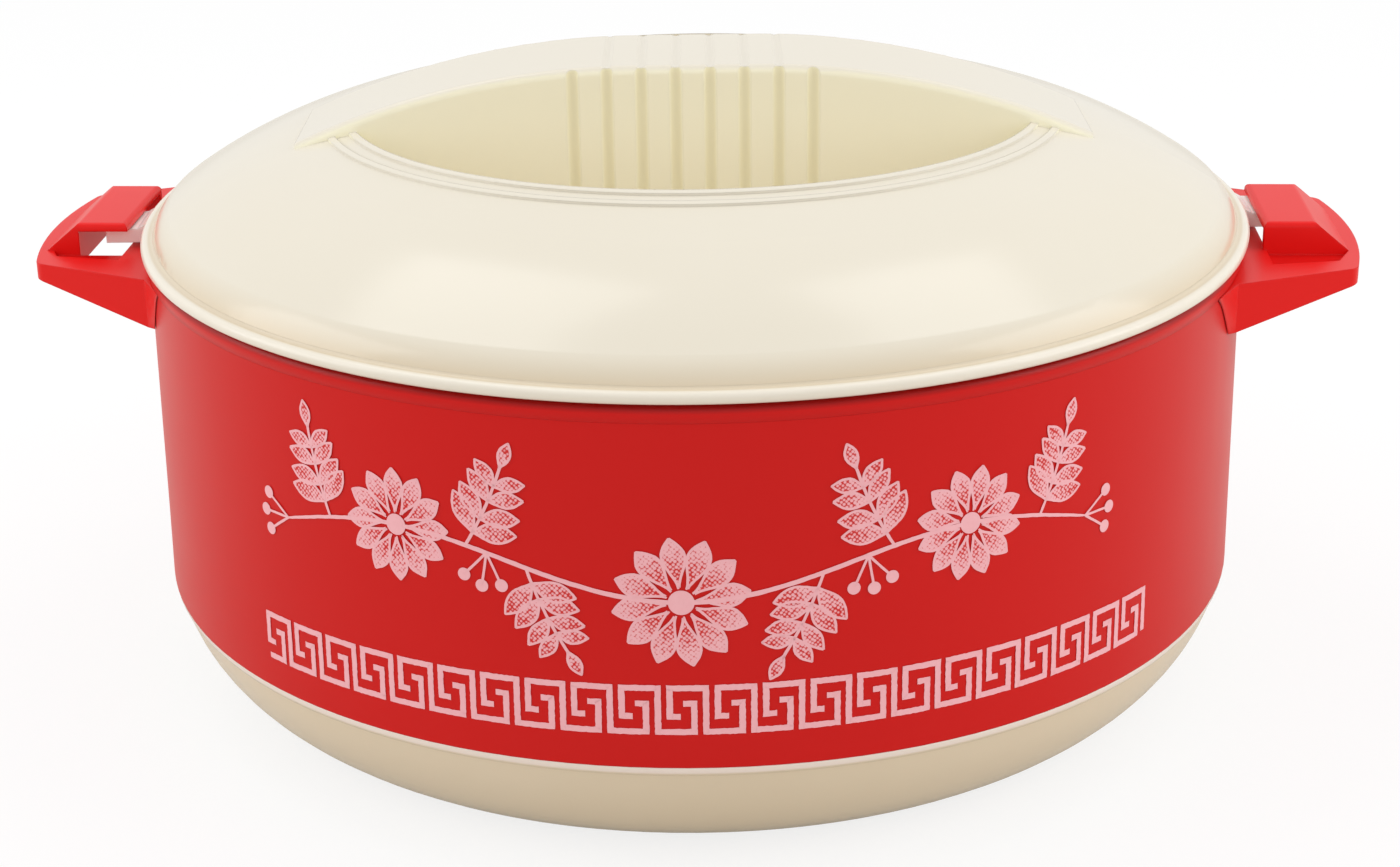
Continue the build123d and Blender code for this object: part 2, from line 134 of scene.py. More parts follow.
# painted shade in the seam under the lid's rim, on the shell's rim ring
seamLook = {
    **redLook,
    "bands": [{"along": "height", "noneMm": 113.1, "fullMm": 114.2, "colour": "#A00A08"}],  # painted shade
}
handleLook = {
    **redLook, "colour": "#EC1B19", "cloudColour": "#E71816",  # the handles' red is a shade brighter
    # painted shade on the trays' floors
    "floors": {"colour": "#DA1412", "noneUp": 0.9, "fullUp": 0.97, "noneMm": 110.7, "fullMm": 110.3},
}


def facingUp(tree):
    # how far a face looks up: 1 for a floor, 0 for a wall
    normal = addNode(tree, "ShaderNodeNewGeometry").outputs["Normal"]
    return addNode(tree, "ShaderNodeSeparateXYZ", links={"Vector": normal}).outputs["Z"]


def wallTints(tree, place, walls):
    # painted light: light comes through the grip bar's thin walls, so steep faces near the bar are painted
    # paler and warmer
    upright = addNode(tree, "ShaderNodeMath", {"operation": "ABSOLUTE"}, {0: facingUp(tree)})
    steep = addNode(tree, "ShaderNodeMapRange", {"From Min": walls["noneUp"], "From Max": walls["fullUp"]},
                    {"Value": upright.outputs[0]})
    along = addNode(tree, "ShaderNodeMapping", {"vector_type": "TEXTURE", "Rotation": (0, 0, lidTurn)},
                    {"Vector": place}).outputs["Vector"]
    box = (walls["alongMm"] * mm, walls["acrossMm"] * mm, 1)
    shares = addNode(tree, "ShaderNodeVectorMath", {"operation": "DIVIDE", 1: box}, {0: along})
    sides = addNode(tree, "ShaderNodeVectorMath", {"operation": "ABSOLUTE"}, {0: shares.outputs["Vector"]})
    split = addNode(tree, "ShaderNodeSeparateXYZ", links={"Vector": sides.outputs["Vector"]})
    farthest = addNode(tree, "ShaderNodeMath", {"operation": "MAXIMUM"},
                       {0: split.outputs["X"], 1: split.outputs["Y"]})
    near = addNode(tree, "ShaderNodeMapRange", {"From Min": walls["fade"], "From Max": 1.0},
                   {"Value": farthest.outputs[0]})
    wall = addNode(tree, "ShaderNodeMath", {"operation": "MULTIPLY"},
                   {0: steep.outputs["Result"], 1: near.outputs["Result"]}).outputs[0]

    # painted shade: the floors of the finger flutes are painted a little darker than the walls round them;
    # they lie at odd multiples of half the pitch, where the ping-pong wave along the bar is highest
    half = walls["flutePitchMm"] / 2
    edge = half - walls["fluteMm"] / 2
    end = walls["fluteCount"] * half
    x = addNode(tree, "ShaderNodeSeparateXYZ", links={"Vector": along}).outputs["X"]
    wave = addNode(tree, "ShaderNodeMath", {"operation": "PINGPONG", 1: half * mm}, {0: x})
    flute = addNode(tree, "ShaderNodeMapRange",
                    {"From Min": edge * mm, "From Max": (edge + walls["softMm"]) * mm},
                    {"Value": wave.outputs[0]})
    reach = addNode(tree, "ShaderNodeMath", {"operation": "ABSOLUTE"}, {0: x})
    inside = addNode(tree, "ShaderNodeMapRange",
                     {"From Min": end * mm, "From Max": (end - walls["softMm"]) * mm},
                     {"Value": reach.outputs[0]})
    fluteShadeShare = wall
    for part in (flute, inside):
        fluteShadeShare = addNode(tree, "ShaderNodeMath", {"operation": "MULTIPLY"},
                         {0: fluteShadeShare, 1: part.outputs["Result"]}).outputs[0]
    return [(walls["colour"], wall), (walls["fluteShadeColour"], fluteShadeShare)]


def floorTint(tree, place, floors):
    # painted shade: the flat floors of the handles' trays lie in shade, so their red is painted deeper
    flat = addNode(tree, "ShaderNodeMapRange", {"From Min": floors["noneUp"], "From Max": floors["fullUp"]},
                   {"Value": facingUp(tree)})
    height = addNode(tree, "ShaderNodeSeparateXYZ", links={"Vector": place}).outputs["Z"]
    low = addNode(tree, "ShaderNodeMapRange",
                  {"From Min": floors["noneMm"] * mm, "From Max": floors["fullMm"] * mm}, {"Value": height})
    share = addNode(tree, "ShaderNodeMath", {"operation": "MULTIPLY"},
                    {0: flat.outputs["Result"], 1: low.outputs["Result"]})
    return floors["colour"], share.outputs[0]


def bandTint(tree, place, band):
    # painted light or shade over a stretch of height, or of distance from the axis, as at a seam, fold or
    # bead
    if band["along"] == "height":
        reach = addNode(tree, "ShaderNodeSeparateXYZ", links={"Vector": place}).outputs["Z"]
    else:
        level = addNode(tree, "ShaderNodeVectorMath", {"operation": "MULTIPLY", 1: (1, 1, 0)}, {0: place})
        reach = addNode(tree, "ShaderNodeVectorMath", {"operation": "LENGTH"},
                        {0: level.outputs["Vector"]}).outputs["Value"]
    share = addNode(tree, "ShaderNodeMapRange",
                    {"From Min": band["noneMm"] * mm, "From Max": band["fullMm"] * mm}, {"Value": reach})
    return band["colour"], share.outputs["Result"]


def mouldedPolypropylene(name, look):
    material, tree = startMaterial(name)
    place = addNode(tree, "ShaderNodeTexCoord").outputs["Object"]
    clouds = addNode(tree, "ShaderNodeTexNoise",
                     {"Scale": 1 / (look["cloudMm"] * mm), "Detail": look["cloudDetail"]}, {"Vector": place})
    colour = addNode(tree, "ShaderNodeMix", {"data_type": "RGBA", 6: linearColour(look["colour"]),
                                             7: linearColour(look["cloudColour"])},
                     {0: clouds.outputs["Fac"]})
    tints = []
    if "walls" in look:
        tints.extend(wallTints(tree, place, look["walls"]))
    if "floors" in look:
        tints.append(floorTint(tree, place, look["floors"]))
    for band in look.get("bands", []):
        tints.append(bandTint(tree, place, band))
    for tint, share in tints:
        colour = addNode(tree, "ShaderNodeMix", {"data_type": "RGBA", 7: linearColour(tint)},
                         {0: share, 6: colour.outputs[2]})
    grain = addNode(tree, "ShaderNodeTexNoise",
                    {"Scale": 1 / (look["grainMm"] * mm), "Detail": look["grainDetail"]}, {"Vector": place})
    shine = addNode(tree, "ShaderNodeMapRange", {"To Min": look["roughLow"], "To Max": look["roughHigh"]},
                    {"Value": clouds.outputs["Fac"]})
    edge = addNode(tree, "ShaderNodeBevel", {"samples": look["edgeSamples"], "Radius": look["edgeMm"] * mm})
    relief = addNode(tree, "ShaderNodeBump",
                     {"Strength": look["grainStrength"], "Distance": look["grainHighMm"] * mm},
                     {"Height": grain.outputs["Fac"], "Normal": edge.outputs["Normal"]})
    shader = addNode(tree, "ShaderNodeBsdfPrincipled",
                     {"IOR": look["ior"], "Specular IOR Level": look["specular"]},
                     {"Base Color": colour.outputs[2], "Roughness": shine.outputs["Result"],
                      "Normal": relief.outputs["Normal"]})
    endMaterial(tree, shader)
    return material


creamPlastic = mouldedPolypropylene("creamMouldedPolypropylene", lidLook)
rimPlastic = mouldedPolypropylene("paleCreamMouldedPolypropylene", rimLook)
panPlastic = mouldedPolypropylene("shadedCreamMouldedPolypropylene", panLook)
redPlastic = mouldedPolypropylene("redMouldedPolypropylene", redLook)
seamPlastic = mouldedPolypropylene("seamShadedRedMouldedPolypropylene", seamLook)
handlePlastic = mouldedPolypropylene("brightRedMouldedPolypropylene", handleLook)


# Drawn stainless steel: a soft grey mirror, broken up by brush lines round the bowl. Real lines are finer;
# lineMm is coarse enough to show.

steelLook = {"colour": "#C9C8C4", "lineMm": 0.6, "lineDetail": 2.0, "roughLow": 0.22, "roughHigh": 0.36}


def drawnSteel(look):
    material, tree = startMaterial("drawnStainlessSteel")
    place = addNode(tree, "ShaderNodeTexCoord").outputs["Object"]
    height = addNode(tree, "ShaderNodeSeparateXYZ", links={"Vector": place}).outputs["Z"]
    lines = addNode(tree, "ShaderNodeTexNoise",
                    {"noise_dimensions": "1D", "Scale": 1 / (look["lineMm"] * mm),
                     "Detail": look["lineDetail"]}, {"W": height})
    shine = addNode(tree, "ShaderNodeMapRange", {"To Min": look["roughLow"], "To Max": look["roughHigh"]},
                    {"Value": lines.outputs["Fac"]})
    shader = addNode(tree, "ShaderNodeBsdfPrincipled",
                     {"Metallic": 1.0, "Base Color": linearColour(look["colour"])},
                     {"Roughness": shine.outputs["Result"]})
    endMaterial(tree, shader)
    return material


# Rigid polyurethane foam: matt straw yellow, pitted with cells of about a millimetre

foamLook = {
    "colour": "#E8D5A0", "cellColour": "#D6BE84", "cellMm": 1.2, "pitMm": 0.3, "pitStrength": 0.5,
    "rough": 0.85,
}


def rigidFoam(look):
    material, tree = startMaterial("rigidPolyurethaneFoam")
    place = addNode(tree, "ShaderNodeTexCoord").outputs["Object"]
    cells = addNode(tree, "ShaderNodeTexVoronoi", {"Scale": 1 / (look["cellMm"] * mm)}, {"Vector": place})
    colour = addNode(tree, "ShaderNodeMix", {"data_type": "RGBA", 6: linearColour(look["cellColour"]),
                                             7: linearColour(look["colour"])},
                     {0: cells.outputs["Distance"]})
    relief = addNode(tree, "ShaderNodeBump",
                     {"Strength": look["pitStrength"], "Distance": look["pitMm"] * mm},
                     {"Height": cells.outputs["Distance"]})
    shader = addNode(tree, "ShaderNodeBsdfPrincipled", {"Roughness": look["rough"]},
                     {"Base Color": colour.outputs[2], "Normal": relief.outputs["Normal"]})
    endMaterial(tree, shader)
    return material


steel = drawnSteel(steelLook)
foam = rigidFoam(foamLook)
nodeMaterials = {
    "outer_shell": redPlastic, "right_handle": handlePlastic, "left_handle": handlePlastic,
    "base_pan": panPlastic, "base_plug": panPlastic, "lid_base": rimPlastic, "lid_plug": rimPlastic,
    "lid_cover": creamPlastic, "inner_bowl": steel, "body_insulation": foam, "lid_insulation": foam,
}
for nodeName, nodeMaterial in nodeMaterials.items():
    nodes[nodeName].data.materials.clear()
    nodes[nodeName].data.materials.append(nodeMaterial)
print("materials on", len(nodeMaterials), "nodes")


# Smooth rings over the two rims that meet at the seam: a closed profile of radius and height in millimetres,
# carried round the axis. A ring stands out from its solid by lift and reaches into it by depth.

ringMesh = {"steps": 720, "arcPoints": 17, "sharpAngle": 60}
lidRim = {
    "radius": 140.0, "low": 115.5, "high": 118.3, "round": 1.29, "foot": 137.0, "cove": 0.9, "lean": 20.4,
    "depth": 0.5, "lift": 0.012,
}
shellRim = {
    "radius": 138.55, "low": 111.6, "top": 115.2, "round": 2.2, "step": 0.35, "depth": 0.5, "lift": 0.012,
}


def arcPoints(centre, radius, first, last):
    # evenly spaced points on a circle, from one angle to another in degrees
    turn = np.radians(np.linspace(first, last, ringMesh["arcPoints"]))
    return np.array(centre) + radius * np.stack([np.cos(turn), np.sin(turn)], 1)


def lidRimProfile(rim):
    # a cove at the leaning foot of the dome, the flat land, the rounded edge and a way back inside the
    # flange; the cove's centre stands off from the foot by its radius times tan((90 - lean) / 2)
    bend = rim["round"] + rim["lift"]
    crown = rim["radius"] - rim["round"]
    coveStart = rim["foot"] + rim["cove"] * math.tan(math.radians((90 - rim["lean"]) / 2))
    coveBend = rim["cove"] - rim["lift"]
    inside = rim["foot"] - rim["depth"]
    return np.vstack([
        arcPoints((coveStart, rim["high"] + rim["cove"]), coveBend, 180 + rim["lean"], 270),
        arcPoints((crown, rim["high"] - rim["round"]), bend, 90, 0),
        arcPoints((crown, rim["low"] + rim["round"]), bend, 0, -90)[1:],
        (crown, rim["low"] + rim["depth"]),
        (inside, rim["high"] - rim["depth"]),
        (inside, rim["high"] + rim["depth"]),
    ])


def shellRimProfile(rim):
    # the rounded top, the raised band, its lower step and a way back inside the wall
    outside = rim["radius"] + rim["lift"]
    wall = outside - rim["step"]
    below = rim["low"] - 2 * rim["step"]
    crown = rim["radius"] - rim["round"]
    return np.vstack([
        arcPoints((crown, rim["top"] - rim["round"]), rim["round"] + rim["lift"], 90, 0),
        (outside, rim["low"]),
        (wall, rim["low"] - rim["step"]),
        (wall, below),
        (wall - rim["depth"], below),
        (crown, rim["top"] - rim["depth"]),
    ])


def makeRim(name, profile, body, material):
    # the profile at every step round the axis: x = radius cos(turn), y = radius sin(turn), z = height
    steps = ringMesh["steps"]
    turns = np.linspace(0, 2 * math.pi, steps, endpoint=False)
    radius, height = profile.T * mm
    place = np.stack([np.outer(np.cos(turns), radius), np.outer(np.sin(turns), radius),
                      np.broadcast_to(height, (steps, len(height)))], -1)
    index = np.arange(steps * len(height)).reshape(steps, -1)
    after = np.roll(index, -1, 0)
    faces = np.stack([index, np.roll(index, -1, 1), np.roll(after, -1, 1), after], -1).reshape(-1, 4)
    piece = addPiece(name, place.reshape(-1, 3), faces, material)
    piece.data.shade_smooth()
    piece.data.set_sharp_from_angle(angle=math.radians(ringMesh["sharpAngle"]))
    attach(piece, body)
    print("rim", name, len(faces), "faces")


makeRim("lidRimFace", lidRimProfile(lidRim), "lid", rimPlastic)
makeRim("shellRimFace", shellRimProfile(shellRim), "pot", seamPlastic)


# Screen print on the shell. It is drawn flat in millimetres, x along the wall from the front middle and
# y above the floor, as patches of points on a grid, and then wrapped round the drafted wall.

printFilm = {"thickMm": 0.04, "bandLiftMm": 0.09, "fillLiftMm": 0.12, "lineLiftMm": 0.15}


def strokePatch(points, width, rough, seed):
    # a line with mitred corners: each point is pushed half the width along (n1 + n2) / (1 + n1.n2), and
    # rough is how ragged its edges are
    steps = np.diff(points, axis=0)
    normals = np.stack([-steps[:, 1], steps[:, 0]], 1) / np.linalg.norm(steps, axis=1)[:, None]
    before = np.vstack([normals[:1], normals])
    after = np.vstack([normals, normals[-1:]])
    mitre = (before + after) / (1 + np.sum(before * after, 1))[:, None]
    half = np.broadcast_to(np.asarray(width, float), len(points))[:, None] / 2
    ragged = np.random.default_rng(seed).uniform(-rough, rough, (len(points), 2, 1))
    return np.stack([points + mitre * (half + ragged[:, 0]), points - mitre * (half + ragged[:, 1])], 1)


def denser(points, spacing):
    # the same corners with evenly spaced points between them
    points = np.asarray(points, float)
    along = np.concatenate([[0], np.cumsum(np.linalg.norm(np.diff(points, axis=0), axis=1))])
    stops = np.unique(np.concatenate([along, np.arange(0, along[-1], spacing)]).round(4))
    return np.stack([np.interp(stops, along, points[:, axis]) for axis in (0, 1)], 1)


def rayAt(angle):
    # the unit vector at an angle in degrees
    return np.array([math.cos(math.radians(angle)), math.sin(math.radians(angle))])


def almondPatch(base, angle, length, width, bend, full, blunt=0.04, counts=(15, 7)):
    # a petal or leaf: half width is sin(pi u^full) along the length, a little more at the blunt ends, and
    # the middle line bends with u squared
    u = np.linspace(0.0, 1.0, counts[0])[:, None]
    v = np.linspace(-1.0, 1.0, counts[1])[None, :]
    half = width / 2 * (blunt + (1 - blunt) * np.sin(math.pi * u ** full))
    along = length * u + 0 * v
    across = half * v + bend * u ** 2
    ray = rayAt(angle)
    x = base[0] + along * ray[0] - across * ray[1]
    y = base[1] + along * ray[1] + across * ray[0]
    return np.stack([x, y], -1)


def discPatch(centre, radius, count):
    # a square grid pressed into a disc: x = u sqrt(1 - v v / 2), y = v sqrt(1 - u u / 2)
    u, v = np.meshgrid(*[np.linspace(-1, 1, count)] * 2, indexing="ij")
    return np.stack([centre[0] + radius * u * np.sqrt(1 - v * v / 2),
                     centre[1] + radius * v * np.sqrt(1 - u * u / 2)], -1)


def outlineOf(patch):
    # the border of a patch as one closed line
    return np.vstack([patch[:, 0], patch[-1, 1:], patch[-2::-1, -1], patch[0, -2::-1]])


def makePrint(name, patches, liftMm, material, shades=None):
    # wrapped round the wall: x becomes the angle x / radius, y the height, and the radius follows the draft
    points = np.concatenate([patch.reshape(-1, 2) for patch in patches])
    faces = []
    start = 0
    for patch in patches:
        index = start + np.arange(patch.shape[0] * patch.shape[1]).reshape(patch.shape[:2])
        corners = [index[:-1, :-1], index[1:, :-1], index[1:, 1:], index[:-1, 1:]]
        faces.append(np.stack(corners, -1).reshape(-1, 4))
        start += index.size
    faces = np.concatenate(faces)
    x, y = np.moveaxis(points[faces], -1, 0)
    area = np.sum(x * np.roll(y, -1, 1) - np.roll(x, -1, 1) * y, 1)
    faces[area < 0] = faces[area < 0][:, ::-1]  # every face looks outwards
    share = (points[:, 1] * mm - shellLow.z) / (shellHigh.z - shellLow.z)
    radius = shellFootRadius + (shellTopRadius - shellFootRadius) * share + liftMm * mm
    angle = points[:, 0] * mm / shellFootRadius + lidTurn
    place = np.stack([radius * np.sin(angle), -radius * np.cos(angle), points[:, 1] * mm], 1)
    piece = addPiece(name, place, faces, material)
    layer = piece.data.uv_layers.new(name="printMm")
    layer.data.foreach_set("uv", points[faces.ravel()].astype(np.float32).ravel())
    if shades:
        ink = [np.broadcast_to(shade, patch.shape[:2]).ravel() for patch, shade in zip(patches, shades)]
        level = piece.data.attributes.new("ink", "FLOAT", "POINT")
        level.data.foreach_set("value", np.concatenate(ink).astype(np.float32))
    film = piece.modifiers.new("inkFilm", "SOLIDIFY")
    film.thickness = printFilm["thickMm"] * mm
    film.offset = -1
    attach(piece, "pot")
    print("print", name, len(faces), "faces")


# Screen ink: pale and half matt, pinker in patches where the red shows through, and broken into slanting
# rows of dots where a fill fades out

inkLook = {
    "colour": "#FFC2C9", "thinColour": "#FAB4BC", "under": redLook["colour"], "patchMm": 3.0,
    "patchDetail": 4.0, "dotMm": 0.8, "dotTurn": 40, "dotRandom": 0.35, "dotSoft": 0.12, "rough": 0.45,
    "ior": 1.49,
}


def screenInk(name, look, dotted):
    material, tree = startMaterial(name)
    place = addNode(tree, "ShaderNodeTexCoord").outputs["UV"]
    patchy = addNode(tree, "ShaderNodeTexNoise",
                     {"Scale": 1 / look["patchMm"], "Detail": look["patchDetail"]}, {"Vector": place})
    colour = addNode(tree, "ShaderNodeMix", {"data_type": "RGBA", 6: linearColour(look["colour"]),
                                             7: linearColour(look["thinColour"])},
                     {0: patchy.outputs["Fac"]})
    if dotted:
        turned = addNode(tree, "ShaderNodeMapping", {"Rotation": (0, 0, math.radians(look["dotTurn"])),
                                                     "Scale": [1 / look["dotMm"]] * 3}, {"Vector": place})
        dots = addNode(tree, "ShaderNodeTexVoronoi", {"Scale": 1.0, "Randomness": look["dotRandom"]},
                       {"Vector": turned.outputs[0]})
        level = addNode(tree, "ShaderNodeAttribute", {"attribute_name": "ink"})
        cover = addNode(tree, "ShaderNodeMath", {"operation": "SUBTRACT"},
                        {0: level.outputs["Fac"], 1: dots.outputs["Distance"]})
        printed = addNode(tree, "ShaderNodeMapRange",
                          {"From Min": -look["dotSoft"], "From Max": look["dotSoft"]},
                          {"Value": cover.outputs[0]})
        colour = addNode(tree, "ShaderNodeMix", {"data_type": "RGBA", 6: linearColour(look["under"])},
                         {0: printed.outputs["Result"], 7: colour.outputs[2]})
    shader = addNode(tree, "ShaderNodeBsdfPrincipled", {"Roughness": look["rough"], "IOR": look["ior"]},
                     {"Base Color": colour.outputs[2]})
    endMaterial(tree, shader)
    return material


solidInk = screenInk("solidScreenInk", inkLook, False)
dottedInk = screenInk("dottedScreenInk", inkLook, True)

# Meander band: open keys that hook into each other, cut off at both ends of the print

keyBand = {
    "start": -113.2, "count": 22, "pitch": 10.56, "foot": 38.3, "height": 12.0, "line": 1.4, "tilt": 0.35,
    "hook": 2.4, "boxShare": 0.82, "hookShare": 0.37, "step": 0.6, "rough": 0.07,
}


def keyStrokes(band):
    # a key starts at its hook, goes up, over and down, and along the foot into the hook of the key after it
    low, high = band["line"] / 2, band["height"] - band["line"] / 2
    left, right = band["line"] / 2, band["pitch"] * band["boxShare"]
    drop = band["height"] * band["hookShare"]
    lift = band["height"] - drop
    far = right + (right - left)
    upper = [(left + band["hook"], drop), (left, drop), (left, high), (right, high), (right, low)]
    lower = [(far, low), (far, lift), (far - band["hook"], lift)]
    lines = [(band["start"] + k * band["pitch"], upper + lower) for k in range(band["count"] - 1)]
    lines.append((band["start"] + (band["count"] - 1) * band["pitch"], upper))  # the last key is cut off
    rest = [(band["pitch"] + left, low)] + lower
    lines.append((band["start"] - band["pitch"], rest))  # and so is the one before the first
    slope = math.tan(math.radians(band["tilt"]))
    strokes = []
    for seed, (x, line) in enumerate(lines):
        points = denser(line, band["step"]) + (x, band["foot"])
        patch = strokePatch(points, band["line"], band["rough"], seed)
        patch[..., 1] += patch[..., 0] * slope
        strokes.append(patch)
    return strokes


makePrint("meanderBand", keyStrokes(keyBand), printFilm["bandLiftMm"], solidInk)

# Flowering vine: a waving stem, three daisies, feathered leaves and berries. Shades are how much ink covers
# the first and the last row of a petal or leaf.

vine = {
    "start": -102, "end": 94, "height": 76, "swing": 6.0, "waves": 1.5, "line": 1.1, "points": 160,
    "endShare": 0.35, "taperPower": 0.3, "rough": 0.05, "seed": 41,
}
daisies = {
    "radii": (13.0, 15.0, 13.0), "petals": 12, "turnShare": 0.25, "eyeShare": 0.24, "discShare": 0.8,
    "discPoints": 9, "petalShare": 0.34, "bend": 0.5, "full": 1.5, "shades": (0.28, 0.72), "line": 0.6,
    "rough": 0.04,
}
sprays = {
    "places": (-88, -52, -38, 27, 43, 80), "angles": (112, 58, -72, 252, 122, 62), "length": 23.0,
    "curl": 14, "points": 24, "line": 0.7, "rough": 0.04, "seed": 60,
}
leaflets = {
    "count": 5, "length": 10.0, "width": 4.6, "shrink": 0.1, "angle": 52, "bendAngle": 60, "full": 1.1,
    "shades": (0.62, 0.34), "line": 0.56, "rough": 0.04, "seed": 90,
}
berries = {
    "places": (-102, -47, 37, 94), "angles": (180, -100, -80, 0), "fan": (-34, 0, 34), "radius": 1.5,
    "discPoints": 7, "stalk": 8.0, "stalkPoints": 8, "line": 0.6, "rough": 0.03,
}
drawing = {"fills": [], "shades": [], "lines": []}


def onVine(x):
    # a sine wave along the vine's length
    turn = 2 * math.pi * vine["waves"] * (x - vine["start"]) / (vine["end"] - vine["start"])
    return np.stack([x, vine["height"] + vine["swing"] * np.sin(turn)], -1)


def drawStem():
    # the line's width follows a low power of a half sine, so it thins at both ends
    swell = np.sin(math.pi * np.linspace(0, 1, vine["points"])) ** vine["taperPower"]
    width = vine["line"] * (vine["endShare"] + (1 - vine["endShare"]) * swell)
    points = onVine(np.linspace(vine["start"], vine["end"], vine["points"]))
    drawing["lines"].append(strokePatch(points, width, vine["rough"], vine["seed"]))


def drawLeaf(patch, look, seed):
    # a fill whose ink changes along its length, and a line round it
    drawing["fills"].append(patch)
    drawing["shades"].append(np.linspace(*look["shades"], patch.shape[0])[:, None])
    drawing["lines"].append(strokePatch(outlineOf(patch), look["line"], look["rough"], seed))


def drawDaisies():
    # one daisy in the middle of each equal stretch of the vine, its petals in a ring round a disc
    count = len(daisies["radii"])
    for number, radius in enumerate(daisies["radii"]):
        centre = onVine(vine["start"] + (vine["end"] - vine["start"]) * (number + 0.5) / count)
        eye = radius * daisies["eyeShare"]
        for petal in range(daisies["petals"]):
            angle = 360 * (petal + daisies["turnShare"] * number) / daisies["petals"]
            patch = almondPatch(centre + rayAt(angle) * eye, angle, radius - eye,
                                radius * daisies["petalShare"], daisies["bend"], daisies["full"])
            drawLeaf(patch, daisies, petal)
        drawing["lines"].append(discPatch(centre, eye * daisies["discShare"], daisies["discPoints"]))


def drawSprays():
    # a stem that turns evenly along its length, with pairs of leaflets that shrink towards the one at its
    # tip; a leaflet set at bendAngle would bend by a millimetre
    points, pairs = sprays["points"], leaflets["count"]
    for number, (place, angle) in enumerate(zip(sprays["places"], sprays["angles"])):
        curl = math.copysign(sprays["curl"], rayAt(angle)[0])
        heading = np.radians(angle + curl * np.linspace(0, 1, points))
        steps = np.stack([np.cos(heading), np.sin(heading)], 1) * sprays["length"] / points
        stem = onVine(place) + np.cumsum(steps, 0) - steps[0]
        drawing["lines"].append(strokePatch(stem, sprays["line"], sprays["rough"], sprays["seed"] + number))
        for pair in range(pairs):
            spot = stem[int((pair + 1) * (points - 2) / pairs)]
            size = 1.0 - leaflets["shrink"] * pair
            sides = (0,) if pair == pairs - 1 else (-leaflets["angle"], leaflets["angle"])
            for side in sides:
                patch = almondPatch(spot, angle + curl * pair / pairs + side, leaflets["length"] * size,
                                    leaflets["width"] * size, side / leaflets["bendAngle"], leaflets["full"])
                drawLeaf(patch, leaflets, leaflets["seed"] + pair)


def drawBerries():
    # straight stalks that fan out from one place on the vine, each with a disc at its tip
    for number, (place, angle) in enumerate(zip(berries["places"], berries["angles"])):
        root = onVine(place)
        for fan in berries["fan"]:
            tip = root + rayAt(angle + fan) * berries["stalk"]
            stalk = np.linspace(root, tip, berries["stalkPoints"])
            drawing["lines"].append(strokePatch(stalk, berries["line"], berries["rough"], number))
            drawing["lines"].append(discPatch(tip, berries["radius"], berries["discPoints"]))


drawStem()
drawDaisies()
drawSprays()
drawBerries()
makePrint("vineFills", drawing["fills"], printFilm["fillLiftMm"], dottedInk, drawing["shades"])
makePrint("vineLines", drawing["lines"], printFilm["lineLiftMm"], solidInk)


# Floor and backdrop: one sheet of matt paper that reads white to the camera and still takes a soft shadow

stageLook = {"sizeM": 6.0, "paper": "#FFFFFF", "bounce": "#D8D3CA", "whiteShare": 0.8, "glossShare": 0.2}
worldLook = {"ambient": 0.76, "glossShare": 0.3}


def whiteRays(tree, glossShare):
    # 1 for camera and transmission rays, a share for glossy rays, 0 for the light that bounces
    path = addNode(tree, "ShaderNodeLightPath")
    gloss = addNode(tree, "ShaderNodeMath", {"operation": "MULTIPLY", 1: glossShare},
                    {0: path.outputs["Is Glossy Ray"]})
    clear = addNode(tree, "ShaderNodeMath", {"operation": "MAXIMUM"},
                    {0: path.outputs["Is Camera Ray"], 1: path.outputs["Is Transmission Ray"]})
    return addNode(tree, "ShaderNodeMath", {"operation": "MAXIMUM"},
                   {0: gloss.outputs[0], 1: clear.outputs[0]}).outputs[0]


def studioPaper(look):
    material, tree = startMaterial("paleStudioPaper")
    seenAll = whiteRays(tree, look["glossShare"])
    colour = addNode(tree, "ShaderNodeMix", {"data_type": "RGBA", 6: linearColour(look["bounce"]),
                                             7: linearColour(look["paper"])}, {0: seenAll})
    paper = addNode(tree, "ShaderNodeBsdfDiffuse", links={"Color": colour.outputs[2]})
    white = addNode(tree, "ShaderNodeEmission", {"Color": (1, 1, 1, 1), "Strength": 1.0})
    share = addNode(tree, "ShaderNodeMath", {"operation": "MULTIPLY", 1: look["whiteShare"]}, {0: seenAll})
    mixed = addNode(tree, "ShaderNodeMixShader",
                    links={0: share.outputs[0], 1: paper.outputs[0], 2: white.outputs[0]})
    endMaterial(tree, mixed)
    return material


def makeStage(look):
    corners = np.array([(-1, -1, 0), (1, -1, 0), (1, 1, 0), (-1, 1, 0)]) * look["sizeM"] / 2
    floor = addPiece("studioFloor", corners, np.array([(0, 1, 2, 3)]), studioPaper(look))


def makeWorld(look):
    world = bpy.data.worlds.new("studioWhite")
    scene.world = world
    world.use_nodes = True
    tree = world.node_tree
    tree.nodes.clear()
    level = addNode(tree, "ShaderNodeMapRange", {"To Min": look["ambient"], "To Max": 1.0},
                    {"Value": whiteRays(tree, look["glossShare"])})
    white = addNode(tree, "ShaderNodeBackground", {"Color": (1, 1, 1, 1)},
                    {"Strength": level.outputs["Result"]})
    addNode(tree, "ShaderNodeOutputWorld", links={"Surface": white.outputs[0]})


# Soft studio lamps round the pot: azimuth from the camera's side and elevation in degrees, distance and size
# in metres. All of them look at one point on the axis.

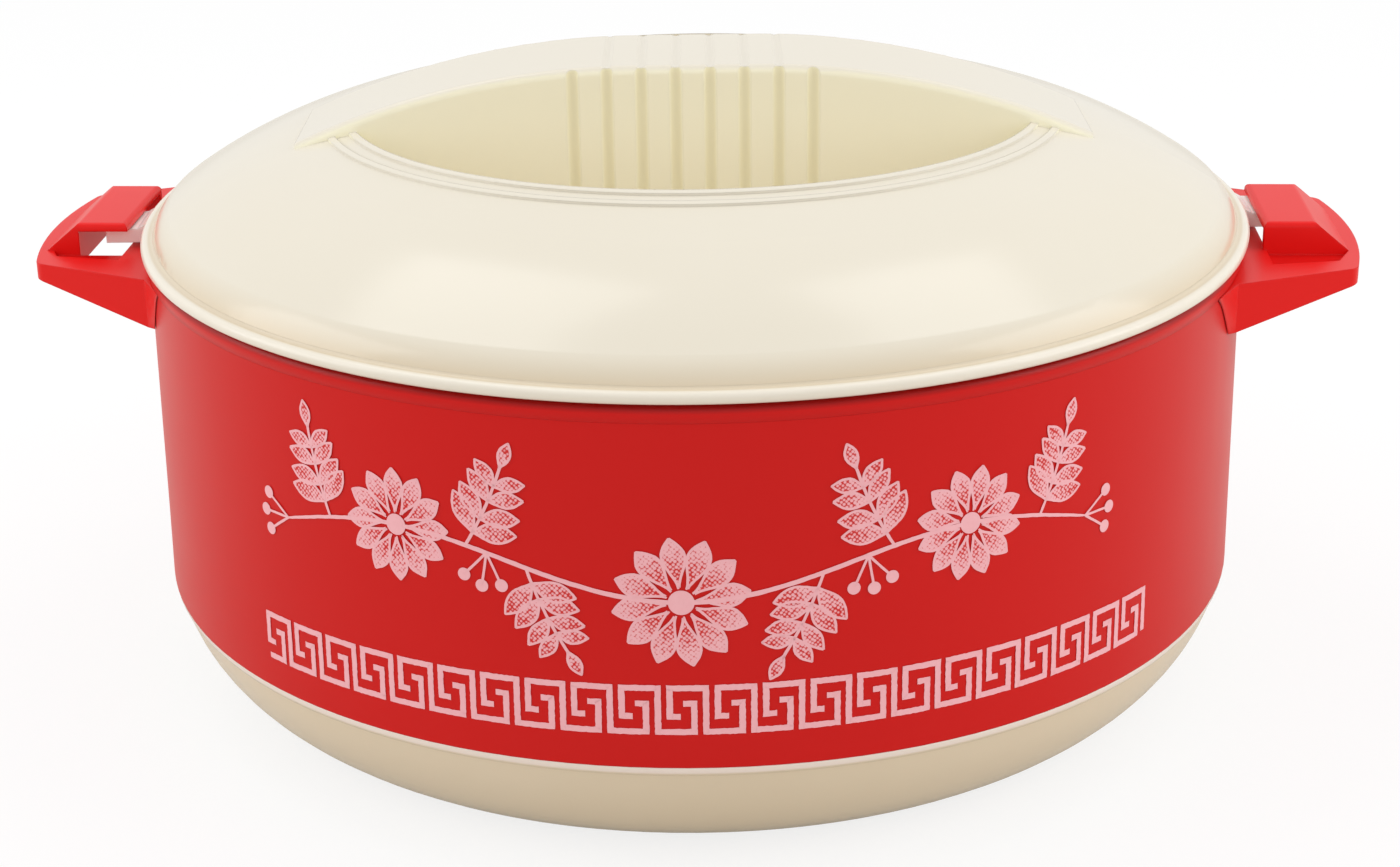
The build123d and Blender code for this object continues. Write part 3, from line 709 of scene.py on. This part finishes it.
lampTarget = Vector((0, 0, 80 * mm))
lamps = {
    "backLeftBox": {"azimuth": -126, "elevation": 64, "distance": 1.3, "size": 0.6, "watts": 1.7},
    "backRightBox": {"azimuth": 125, "elevation": 62, "distance": 1.3, "size": 0.5, "watts": 1.1},
    "frontBox": {"azimuth": 0, "elevation": 15, "distance": 1.4, "size": 0.7, "watts": 0.5},
    "leftBox": {"azimuth": -85, "elevation": 24, "distance": 1.2, "size": 0.8, "watts": 3.4},
    "rightBox": {"azimuth": 80, "elevation": 25, "distance": 1.2, "size": 0.8, "watts": 3.8},
}


def makeLamp(name, values):
    data = bpy.data.lights.new(name, "AREA")
    data.energy = values["watts"]
    data.size = values["size"]
    lamp = bpy.data.objects.new(name, data)
    scene.collection.objects.link(lamp)
    around = math.radians(values["azimuth"]) + lidTurn
    above = math.radians(values["elevation"])
    level = math.cos(above)
    back = Vector((math.sin(around) * level, -math.cos(around) * level, math.sin(above)))
    lamp.location = lampTarget + back * values["distance"]
    lamp.rotation_euler = back.to_track_quat("Z", "Y").to_euler()


makeStage(stageLook)
makeWorld(worldLook)
for lampName, lampValues in lamps.items():
    makeLamp(lampName, lampValues)

# Camera fitted to the photograph: focal length in pixels of a frame widthPx wide, tilt and roll in degrees,
# and the point that it looks at in millimetres

cameraFit = {
    "focalPx": 2633.4, "widthPx": 1400, "sensorMm": 36.0, "distanceMm": 700.0, "tilt": 21.37, "roll": -0.80,
    "target": (0.56, 0.0, 54.7),
}


def makeCamera(fit):
    tilt, roll = math.radians(fit["tilt"]), math.radians(fit["roll"])
    back = Vector((0, -math.cos(tilt), math.sin(tilt)))
    right = Vector((1, 0, 0))
    up = back.cross(right)
    rightRolled = right * math.cos(roll) + up * math.sin(roll)
    upRolled = up * math.cos(roll) - right * math.sin(roll)
    place = Matrix((rightRolled, upRolled, back)).transposed().to_4x4()
    place.translation = (Vector(fit["target"]) + back * fit["distanceMm"]) * mm
    data = bpy.data.cameras.new("photoCamera")
    data.sensor_width = fit["sensorMm"]
    data.lens = fit["sensorMm"] * fit["focalPx"] / fit["widthPx"]
    camera = bpy.data.objects.new("photoCamera", data)
    scene.collection.objects.link(camera)
    camera.matrix_world = Matrix.Rotation(lidTurn, 4, "Z") @ place
    scene.camera = camera


makeCamera(cameraFit)
scene.view_settings.view_transform = "Standard"
print("stage, lamps and camera ready")
